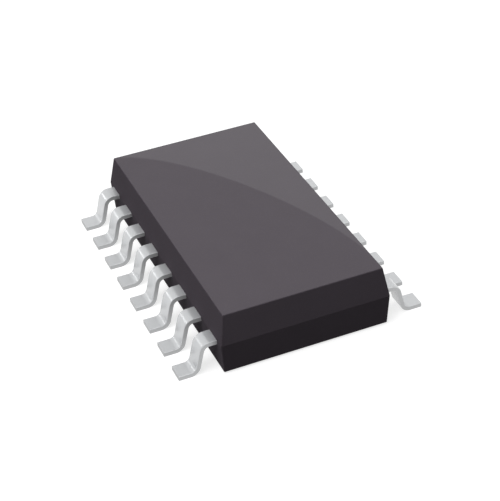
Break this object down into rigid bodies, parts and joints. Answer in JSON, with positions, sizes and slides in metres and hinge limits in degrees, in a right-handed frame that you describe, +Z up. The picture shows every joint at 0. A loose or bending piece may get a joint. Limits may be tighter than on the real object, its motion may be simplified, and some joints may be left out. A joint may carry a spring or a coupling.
{
  "type": "transceiver chip",
  "caption": "Surface-mount transceiver chip: a flat epoxy body with drafted sides, and a row of flat gull-wing leads bent down to solder feet along each long side.",
  "frame": {"origin": "middle of the chip, on the plane that the solder feet stand on", "axes": "+Z up out of the bare top face; +Y along the rows of leads, towards leads 1 and 16; +X across, towards the row of leads 9 to 16"},
  "size_m": [0.0082, 0.0102, 0.0021],
  "materials": {
    "moulding_compound": "fine matt moulded epoxy with a soft sheen",
    "tinned_copper": "matt tin plating on copper alloy strip",
    "die_attach_adhesive": "cured silver-filled adhesive",
    "silicon": "polished silicon with a glassy top layer",
    "bond_wire_gold": "drawn gold wire"
  },
  "bodies": {
    "root": {"moulded_body": "moulding_compound", "die_paddle_with_ground_leads": "tinned_copper", "die_attach": "die_attach_adhesive", "silicon_die": "silicon", "lead_01": "tinned_copper", "lead_02": "tinned_copper", "lead_03": "tinned_copper", "lead_04": "tinned_copper", "lead_06": "tinned_copper", "lead_07": "tinned_copper", "lead_08": "tinned_copper", "lead_09": "tinned_copper", "lead_10": "tinned_copper", "lead_11": "tinned_copper", "lead_12": "tinned_copper", "lead_14": "tinned_copper", "lead_15": "tinned_copper", "lead_16": "tinned_copper", "bond_wire_01": "bond_wire_gold", "bond_wire_02": "bond_wire_gold", "bond_wire_03": "bond_wire_gold", "bond_wire_04": "bond_wire_gold", "bond_wire_05": "bond_wire_gold", "bond_wire_06": "bond_wire_gold", "bond_wire_07": "bond_wire_gold", "bond_wire_08": "bond_wire_gold", "bond_wire_09": "bond_wire_gold", "bond_wire_10": "bond_wire_gold", "bond_wire_11": "bond_wire_gold", "bond_wire_12": "bond_wire_gold", "bond_wire_13": "bond_wire_gold", "bond_wire_14": "bond_wire_gold", "bond_wire_15": "bond_wire_gold", "bond_wire_16": "bond_wire_gold"}
  },
  "joints": []
}
